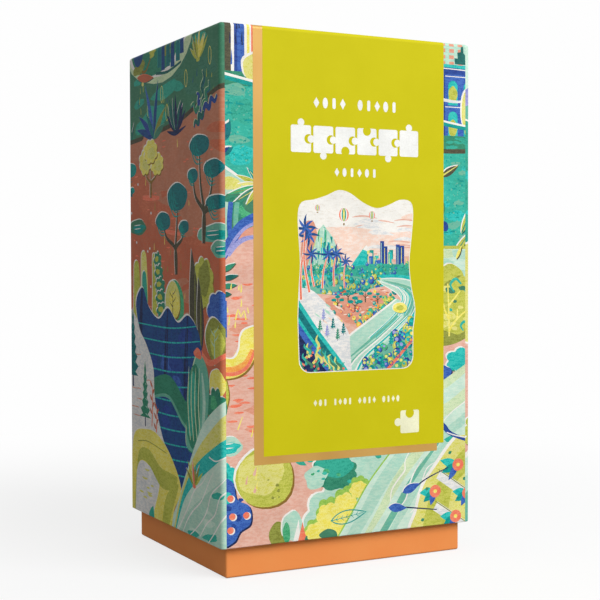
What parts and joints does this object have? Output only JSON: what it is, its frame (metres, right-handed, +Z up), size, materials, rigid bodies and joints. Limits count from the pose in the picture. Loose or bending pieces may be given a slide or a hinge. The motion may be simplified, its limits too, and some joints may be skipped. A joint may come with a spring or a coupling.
{
  "type": "boxed jigsaw puzzle",
  "caption": "Tall rigid puzzle box with a full-depth lift-off lid over an orange tray, holding a film bag of loose jigsaw pieces and a folded picture guide.",
  "frame": {"origin": "middle of the underside, on the surface the box stands on", "axes": "+Z up; the labelled front faces -Y; +X is to the right when looking at the front"},
  "size_m": [0.14, 0.1202, 0.2601],
  "materials": {
    "greyboard": "uncoated grey board",
    "kraft_tape": "gummed kraft paper",
    "white_liner": "uncoated white paper",
    "orange_wrap": "matt laminated paper",
    "printed_wrap": "matt laminated printed paper",
    "lime_label": "matt laminated paper",
    "gilt_foil": "satin gilt foil",
    "guide_print": "coated printed paper",
    "clear_film": "clear film",
    "puzzle_board": "printed paper on blue-grey board"
  },
  "bodies": {
    "tray": {"tray_board": "greyboard", "tray_corner_stays": "kraft_tape", "tray_liner": "white_liner", "tray_wrap": "orange_wrap", "tray_under_sheet": "orange_wrap"},
    "lid": {"lid_board": "greyboard", "lid_corner_stays": "kraft_tape", "lid_liner": "white_liner", "lid_wrap": "printed_wrap", "label_band": "lime_label", "foil_border": "gilt_foil"},
    "guide": {"picture_guide": "guide_print"},
    "puzzle_bag": {"bag_film": "clear_film", "jigsaw_edge_pieces": "puzzle_board", "jigsaw_inner_pieces": "puzzle_board"}
  },
  "joints": [
    {"name": "lid_lift", "type": "slide", "parent": "tray", "child": "lid", "axis": [0, 0, 1], "range_m": [0, 0.26]},
    {"name": "guide_lift", "type": "slide", "parent": "tray", "child": "guide", "axis": [0, 0, 1], "range_m": [0, 0.056]},
    {"name": "bag_lift", "type": "slide", "parent": "tray", "child": "puzzle_bag", "axis": [0, 0, 1], "range_m": [0, 0.08]}
  ]
}
